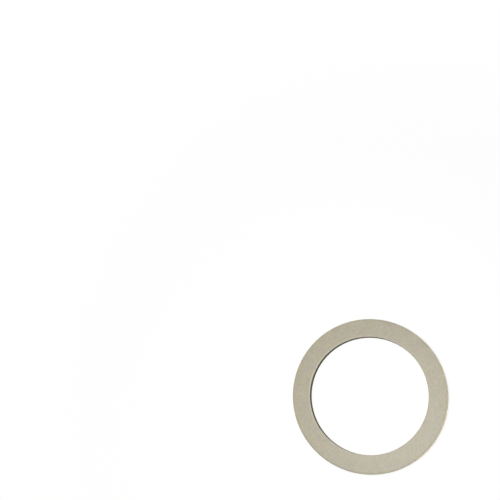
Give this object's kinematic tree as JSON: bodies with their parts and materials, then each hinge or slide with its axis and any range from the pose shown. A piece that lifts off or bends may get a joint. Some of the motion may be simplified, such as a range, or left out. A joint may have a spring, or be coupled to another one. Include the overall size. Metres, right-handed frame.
{
  "type": "carafe gasket",
  "caption": "Flat silicone sealing ring with rounded edges, for the upper vessel of a stovetop coffee pot.",
  "frame": {"origin": "centre of the ring's lower sealing face, on the ring's axis", "axes": "+Z along the ring's axis, up through the upper sealing face; the ring lies flat in X and Y and is the same at every turn about Z"},
  "size_m": [0.073, 0.073, 0.0035],
  "materials": {
    "silicone": "matte"
  },
  "bodies": {
    "root": {"gasket_ring": "silicone"}
  },
  "joints": []
}
